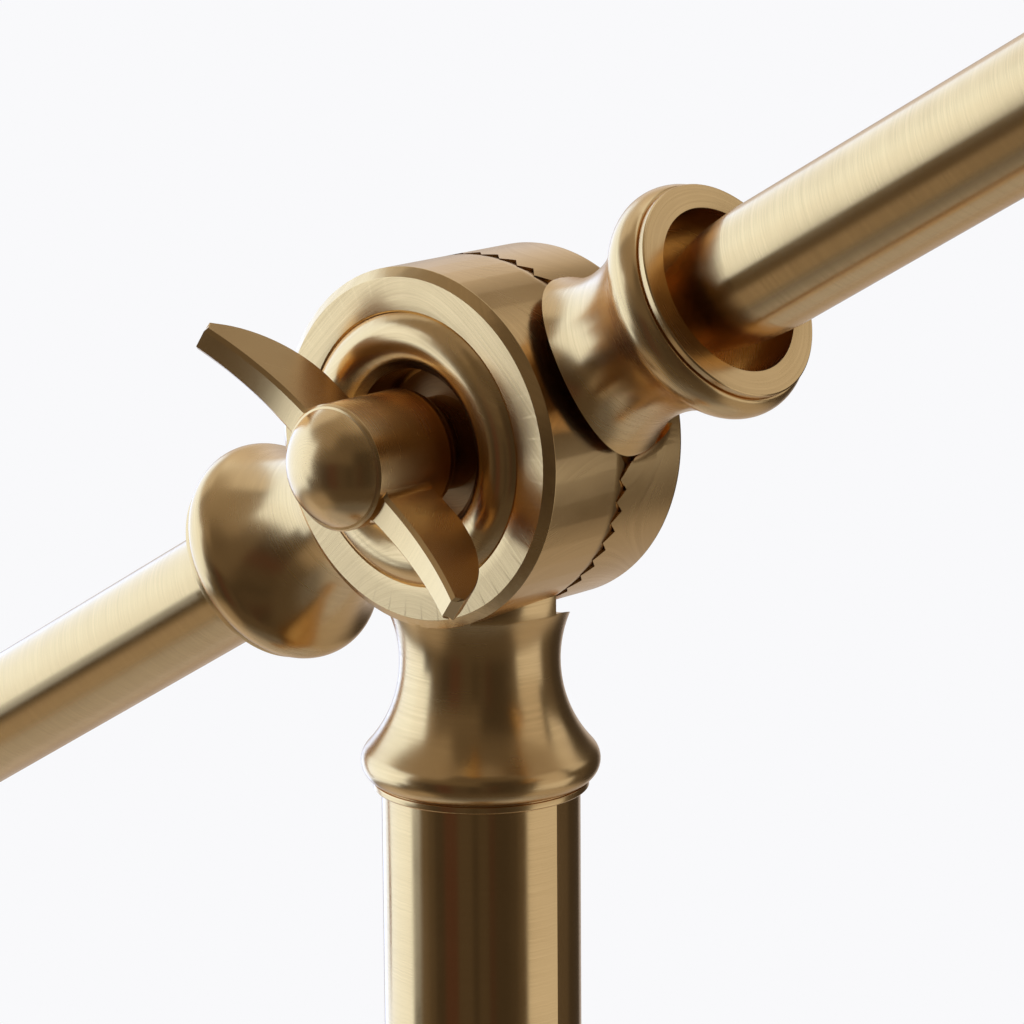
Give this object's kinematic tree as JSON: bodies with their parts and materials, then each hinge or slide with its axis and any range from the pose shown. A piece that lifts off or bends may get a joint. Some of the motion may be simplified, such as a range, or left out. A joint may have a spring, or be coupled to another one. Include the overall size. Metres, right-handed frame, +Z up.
{
  "type": "reading floor lamp",
  "caption": "Reading floor lamp in satin brass: weighted round base, slim pole, toothed tilt joint with a wing screw, counter-arm boom and a bell shade.",
  "frame": {"origin": "centre of the base's underside, on the floor and on the pole's axis", "axes": "+Z up along the pole, +X towards the shade, the boom swings in the XZ plane and the wing screw faces -Y"},
  "size_m": [0.5675, 0.25, 1.359],
  "materials": {
    "satin_brass": "satin, finely brushed",
    "cast_iron": "black paint over a cast surface",
    "zinc_steel": "bright zinc plate",
    "felt": "dense felt",
    "dark_polymer": "matte",
    "opal_glass": "opal white"
  },
  "bodies": {
    "stand": {"base_pad": "felt", "base_weight": "cast_iron", "base_cover": "satin_brass", "base_washer": "zinc_steel", "base_nut": "zinc_steel", "base_rod": "zinc_steel", "cord_gland": "dark_polymer", "foot_collar": "satin_brass", "pole_foot_insert": "satin_brass", "lower_pole": "satin_brass", "pole_joiner": "satin_brass", "upper_pole": "satin_brass", "pole_top_insert": "satin_brass", "neck_stud": "zinc_steel", "fixed_knuckle": "satin_brass", "thrust_washer": "zinc_steel", "release_spring": "zinc_steel"},
    "wing_screw": {"wing_head": "satin_brass", "clamp_stud": "zinc_steel"},
    "release_bush": {"clutch_bush": "zinc_steel"},
    "boom": {"moving_knuckle": "satin_brass", "back_cap": "satin_brass", "front_nipple": "zinc_steel", "front_tube": "satin_brass", "tail_nipple": "zinc_steel", "tail_tube": "satin_brass", "tail_knob": "satin_brass", "boom_tip": "satin_brass", "head_screw": "satin_brass", "head_nut": "satin_brass", "head_washer": "dark_polymer"},
    "head": {"head_knuckle": "satin_brass", "head_nipple": "zinc_steel", "lampholder_cup": "satin_brass", "lampholder": "dark_polymer", "shade": "satin_brass", "shade_ring": "satin_brass", "bulb_cap": "zinc_steel", "bulb_glass": "opal_glass", "switch_body": "dark_polymer", "switch_collar": "satin_brass"},
    "switch": {"switch_knob": "satin_brass"}
  },
  "joints": [
    {"name": "wing_turn", "type": "hinge", "parent": "stand", "child": "wing_screw", "pos_m": [0, 0.001, 1.15], "axis": [0, -1, 0], "range_deg": [0, 540]},
    {"name": "clutch_release", "type": "slide", "parent": "stand", "child": "release_bush", "axis": [0, 1, 0], "range_m": [0, 0.0015]},
    {"name": "boom_tilt", "type": "hinge", "parent": "release_bush", "child": "boom", "pos_m": [0, 0.001, 1.15], "axis": [0, -1, 0], "range_deg": [-45, 0]},
    {"name": "head_tilt", "type": "hinge", "parent": "boom", "child": "head", "pos_m": [0.34641, 0.001, 1.35], "axis": [0, -1, 0], "range_deg": [-7.5, 90]},
    {"name": "switch_turn", "type": "hinge", "parent": "head", "child": "switch", "pos_m": [0.36641, 0.001, 1.312], "axis": [1, 0, 0], "range_deg": [0, 90]}
  ],
  "couplings": [
    {"joint": "wing_turn", "follows": "clutch_release", "rad_per_m": 6283.2}
  ]
}
